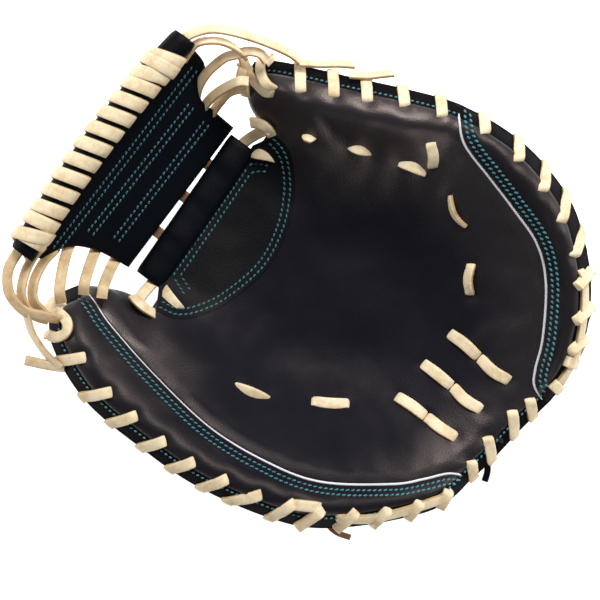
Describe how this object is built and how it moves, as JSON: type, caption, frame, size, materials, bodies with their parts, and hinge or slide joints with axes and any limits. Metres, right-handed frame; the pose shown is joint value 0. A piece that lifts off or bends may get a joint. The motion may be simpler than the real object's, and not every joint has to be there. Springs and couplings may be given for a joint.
{
  "type": "baseball catcher's mitt",
  "caption": "Left-hand catcher's mitt with a deep round pocket, laced web and rim, padded thumb and finger sides that fold closed.",
  "frame": {"origin": "middle of the flat spot on the back that the mitt rests on", "axes": "+Z out of the pocket, +Y from the heel to the web along the fold, +X to the finger side"},
  "size_m": [0.2458, 0.2721, 0.107],
  "materials": {
    "leather": "semi-gloss navy cowhide with fine grain",
    "lining_leather": "soft matt tan lining leather",
    "lace": "smooth blond rawhide lace",
    "felt": "pressed wool felt",
    "fleece": "short dark fleece",
    "thread": "waxed teal thread",
    "piping": "smooth white piping"
  },
  "bodies": {
    "palm": {"palm_leather_center": "leather", "palm_pad": "felt", "hand_liner_front": "lining_leather", "hand_liner_back": "lining_leather", "back_panel_center": "leather", "crotch_patch": "leather", "crotch_patch_thread": "thread", "crotch_roll": "leather", "wrist_strap": "leather", "wrist_fleece": "fleece", "strap_lace": "lace", "rim_lace_heel": "lace", "heel_ties": "lace", "pocket_tie_palm": "lace", "web_front_panel": "leather", "web_back_panel": "leather", "web_thread": "thread", "web_bar_core": "leather", "web_bar_lace": "lace", "web_crotch_laces": "lace", "web_lace_index": "lace", "web_lace_thumb": "lace"},
    "thumb_side": {"palm_leather_thumb": "leather", "thumb_roll_panel": "leather", "thumb_piping": "piping", "thumb_seam_thread": "thread", "thumb_pad": "felt", "back_panel_thumb": "leather", "thumb_stall": "lining_leather", "rim_lace_thumb": "lace", "chain_lace_thumb": "lace", "chain_loops_thumb": "lace", "pocket_tie_thumb": "lace", "thumb_tip_lace": "lace"},
    "finger_side": {"palm_leather_finger": "leather", "finger_roll_panel": "leather", "finger_piping": "piping", "finger_seam_thread": "thread", "finger_pad": "felt", "back_panel_finger": "leather", "index_stall": "lining_leather", "middle_stall": "lining_leather", "ring_stall": "lining_leather", "little_stall": "lining_leather", "rim_lace_finger": "lace", "chain_lace_finger": "lace", "chain_loops_finger": "lace", "pocket_ties_finger": "lace", "index_tip_lace": "lace"}
  },
  "joints": [
    {"name": "thumb_close", "type": "hinge", "parent": "palm", "child": "thumb_side", "pos_m": [-0.037, -0.112, 0.075], "axis": [-0.1376, 0.9905, 0], "range_deg": [0, 30], "stiffness_Nm_per_rad": 0.6, "deforming": ["web_lace_thumb"]},
    {"name": "finger_close", "type": "hinge", "parent": "palm", "child": "finger_side", "pos_m": [0.029, -0.122, 0.075], "axis": [-0.1209, -0.9927, 0], "range_deg": [0, 30], "stiffness_Nm_per_rad": 0.6, "deforming": ["web_lace_index"]}
  ]
}
